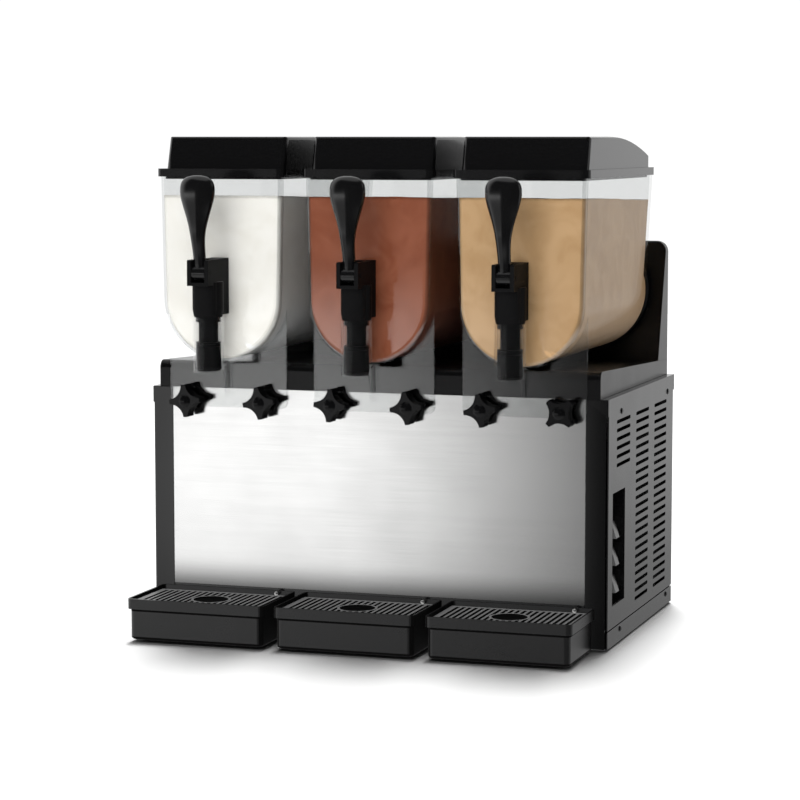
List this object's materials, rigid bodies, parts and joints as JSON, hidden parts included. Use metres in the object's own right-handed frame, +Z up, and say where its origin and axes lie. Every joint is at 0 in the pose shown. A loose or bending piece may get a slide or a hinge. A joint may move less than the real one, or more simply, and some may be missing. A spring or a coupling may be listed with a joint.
{
  "type": "slush machine",
  "caption": "Countertop frozen-drink dispenser with clear bowls over a steel cabinet, lever piston taps, helical scrapers on cold drums and slotted drip trays.",
  "frame": {"origin": "bottom centre of the whole machine, on the counter under the feet", "axes": "+X to the machine's right as seen from its front, +Y from the taps to the back, +Z up"},
  "size_m": [0.6028, 0.504, 0.629],
  "materials": {
    "black_paint": "satin",
    "rubber": "matte",
    "stainless": "brushed",
    "black_plastic": "satin",
    "black_gloss": "gloss",
    "zinc_steel": "zinc plated",
    "compressor_paint": "satin",
    "condenser_fins": "raw",
    "fan_plastic": "satin",
    "motor_metal": "cast",
    "clear_bowl": "clear",
    "spring_steel": "bright wire",
    "white_plastic": "satin",
    "shaft_steel": "ground",
    "tray_plastic": "satin",
    "grid_plastic": "satin"
  },
  "bodies": {
    "cabinet": {"base_chassis": "black_paint", "rubber_feet": "rubber", "front_panel": "stainless", "corner_posts": "black_plastic", "side_panel_left": "black_paint", "side_panel_right": "black_paint", "rear_panel": "black_paint", "top_deck": "black_plastic", "rear_housing": "black_plastic", "clamp_bar": "zinc_steel", "panel_screws": "black_paint", "cable_gland": "black_plastic", "switch_plate": "black_plastic", "compressor": "compressor_paint", "condenser": "condenser_fins", "gear_motors": "motor_metal", "evaporator_drums": "stainless", "bowl_gaskets": "rubber", "tray_studs": "zinc_steel"},
    "fan": {"condenser_fan": "fan_plastic"},
    "rocker_1": {"switch_1": "black_gloss"},
    "rocker_2": {"switch_2": "black_gloss"},
    "rocker_3": {"switch_3": "black_gloss"},
    "bowl_unit_1": {"bowl_1": "clear_bowl", "tap_housing_1": "black_plastic", "tap_spring_1": "spring_steel"},
    "lid_unit_1": {"lid_1": "black_gloss"},
    "lever_1": {"tap_lever_1": "black_gloss"},
    "piston_1": {"tap_piston_1": "black_plastic"},
    "auger_unit_1": {"auger_1": "white_plastic", "drive_shaft_1": "shaft_steel"},
    "tray_1": {"drip_tray_1": "tray_plastic"},
    "grid_1": {"drip_grid_1": "grid_plastic"},
    "knob_unit_1": {"knob_1": "black_gloss"},
    "knob_unit_2": {"knob_2": "black_gloss"},
    "bowl_unit_2": {"bowl_2": "clear_bowl", "tap_housing_2": "black_plastic", "tap_spring_2": "spring_steel"},
    "lid_unit_2": {"lid_2": "black_gloss"},
    "lever_2": {"tap_lever_2": "black_gloss"},
    "piston_2": {"tap_piston_2": "black_plastic"},
    "auger_unit_2": {"auger_2": "white_plastic", "drive_shaft_2": "shaft_steel"},
    "tray_2": {"drip_tray_2": "tray_plastic"},
    "grid_2": {"drip_grid_2": "grid_plastic"},
    "knob_unit_3": {"knob_3": "black_gloss"},
    "knob_unit_4": {"knob_4": "black_gloss"},
    "bowl_unit_3": {"bowl_3": "clear_bowl", "tap_housing_3": "black_plastic", "tap_spring_3": "spring_steel"},
    "lid_unit_3": {"lid_3": "black_gloss"},
    "lever_3": {"tap_lever_3": "black_gloss"},
    "piston_3": {"tap_piston_3": "black_plastic"},
    "auger_unit_3": {"auger_3": "white_plastic", "drive_shaft_3": "shaft_steel"},
    "tray_3": {"drip_tray_3": "tray_plastic"},
    "grid_3": {"drip_grid_3": "grid_plastic"},
    "knob_unit_5": {"knob_5": "black_gloss"},
    "knob_unit_6": {"knob_6": "black_gloss"}
  },
  "joints": [
    {"name": "fan_spin", "type": "hinge", "parent": "cabinet", "child": "fan", "pos_m": [0.2305, 0.105, 0.144], "axis": [1, 0, 0], "continuous": true},
    {"name": "switch_1_rock", "type": "hinge", "parent": "cabinet", "child": "rocker_1", "pos_m": [0.2705, -0.067, 0.143], "axis": [0, 1, 0], "range_deg": [0, 16]},
    {"name": "switch_2_rock", "type": "hinge", "parent": "cabinet", "child": "rocker_2", "pos_m": [0.2705, -0.067, 0.109], "axis": [0, 1, 0], "range_deg": [0, 16]},
    {"name": "switch_3_rock", "type": "hinge", "parent": "cabinet", "child": "rocker_3", "pos_m": [0.2705, -0.067, 0.075], "axis": [0, 1, 0], "range_deg": [0, 16]},
    {"name": "bowl_1_pull", "type": "slide", "parent": "cabinet", "child": "bowl_unit_1", "axis": [0, -1, 0], "range_m": [0, 0.36]},
    {"name": "lid_1_lift", "type": "slide", "parent": "bowl_unit_1", "child": "lid_unit_1", "axis": [0, 0, 1], "range_m": [0, 0.12]},
    {"name": "lever_1_pull", "type": "hinge", "parent": "bowl_unit_1", "child": "lever_1", "pos_m": [-0.195, -0.224, 0.462], "axis": [1, 0, 0], "range_deg": [0, 40]},
    {"name": "piston_1_lift", "type": "slide", "parent": "bowl_unit_1", "child": "piston_1", "axis": [0, 0, 1], "range_m": [0, 0.017], "stiffness_N_per_m": 500, "springref_m": -0.016, "deforming": ["tap_spring_1"]},
    {"name": "auger_1_spin", "type": "hinge", "parent": "cabinet", "child": "auger_unit_1", "pos_m": [-0.195, 0, 0.427], "axis": [0, 1, 0], "continuous": true},
    {"name": "tray_1_pull", "type": "slide", "parent": "cabinet", "child": "tray_1", "axis": [0, -1, 0], "range_m": [0, 0.14]},
    {"name": "grid_1_lift", "type": "slide", "parent": "tray_1", "child": "grid_1", "axis": [0, 0, 1], "range_m": [0, 0.06]},
    {"name": "knob_1_turn", "type": "hinge", "parent": "bowl_unit_1", "child": "knob_unit_1", "pos_m": [-0.245, -0.16, 0.2955], "axis": [0, 1, 0], "continuous": true},
    {"name": "knob_2_turn", "type": "hinge", "parent": "bowl_unit_1", "child": "knob_unit_2", "pos_m": [-0.145, -0.16, 0.2955], "axis": [0, 1, 0], "continuous": true},
    {"name": "bowl_2_pull", "type": "slide", "parent": "cabinet", "child": "bowl_unit_2", "axis": [0, -1, 0], "range_m": [0, 0.36]},
    {"name": "lid_2_lift", "type": "slide", "parent": "bowl_unit_2", "child": "lid_unit_2", "axis": [0, 0, 1], "range_m": [0, 0.12]},
    {"name": "lever_2_pull", "type": "hinge", "parent": "bowl_unit_2", "child": "lever_2", "pos_m": [0, -0.224, 0.462], "axis": [1, 0, 0], "range_deg": [0, 40]},
    {"name": "piston_2_lift", "type": "slide", "parent": "bowl_unit_2", "child": "piston_2", "axis": [0, 0, 1], "range_m": [0, 0.017], "stiffness_N_per_m": 500, "springref_m": -0.016, "deforming": ["tap_spring_2"]},
    {"name": "auger_2_spin", "type": "hinge", "parent": "cabinet", "child": "auger_unit_2", "pos_m": [0, 0, 0.427], "axis": [0, 1, 0], "continuous": true},
    {"name": "tray_2_pull", "type": "slide", "parent": "cabinet", "child": "tray_2", "axis": [0, -1, 0], "range_m": [0, 0.14]},
    {"name": "grid_2_lift", "type": "slide", "parent": "tray_2", "child": "grid_2", "axis": [0, 0, 1], "range_m": [0, 0.06]},
    {"name": "knob_3_turn", "type": "hinge", "parent": "bowl_unit_2", "child": "knob_unit_3", "pos_m": [-0.05, -0.16, 0.2955], "axis": [0, 1, 0], "continuous": true},
    {"name": "knob_4_turn", "type": "hinge", "parent": "bowl_unit_2", "child": "knob_unit_4", "pos_m": [0.05, -0.16, 0.2955], "axis": [0, 1, 0], "continuous": true},
    {"name": "bowl_3_pull", "type": "slide", "parent": "cabinet", "child": "bowl_unit_3", "axis": [0, -1, 0], "range_m": [0, 0.36]},
    {"name": "lid_3_lift", "type": "slide", "parent": "bowl_unit_3", "child": "lid_unit_3", "axis": [0, 0, 1], "range_m": [0, 0.12]},
    {"name": "lever_3_pull", "type": "hinge", "parent": "bowl_unit_3", "child": "lever_3", "pos_m": [0.195, -0.224, 0.462], "axis": [1, 0, 0], "range_deg": [0, 40]},
    {"name": "piston_3_lift", "type": "slide", "parent": "bowl_unit_3", "child": "piston_3", "axis": [0, 0, 1], "range_m": [0, 0.017], "stiffness_N_per_m": 500, "springref_m": -0.016, "deforming": ["tap_spring_3"]},
    {"name": "auger_3_spin", "type": "hinge", "parent": "cabinet", "child": "auger_unit_3", "pos_m": [0.195, 0, 0.427], "axis": [0, 1, 0], "continuous": true},
    {"name": "tray_3_pull", "type": "slide", "parent": "cabinet", "child": "tray_3", "axis": [0, -1, 0], "range_m": [0, 0.14]},
    {"name": "grid_3_lift", "type": "slide", "parent": "tray_3", "child": "grid_3", "axis": [0, 0, 1], "range_m": [0, 0.06]},
    {"name": "knob_5_turn", "type": "hinge", "parent": "bowl_unit_3", "child": "knob_unit_5", "pos_m": [0.145, -0.16, 0.2955], "axis": [0, 1, 0], "continuous": true},
    {"name": "knob_6_turn", "type": "hinge", "parent": "bowl_unit_3", "child": "knob_unit_6", "pos_m": [0.245, -0.16, 0.2955], "axis": [0, 1, 0], "continuous": true}
  ],
  "couplings": [
    {"joint": "piston_1_lift", "follows": "lever_1_pull", "m_per_rad": 0.024},
    {"joint": "piston_2_lift", "follows": "lever_2_pull", "m_per_rad": 0.024},
    {"joint": "piston_3_lift", "follows": "lever_3_pull", "m_per_rad": 0.024}
  ]
}
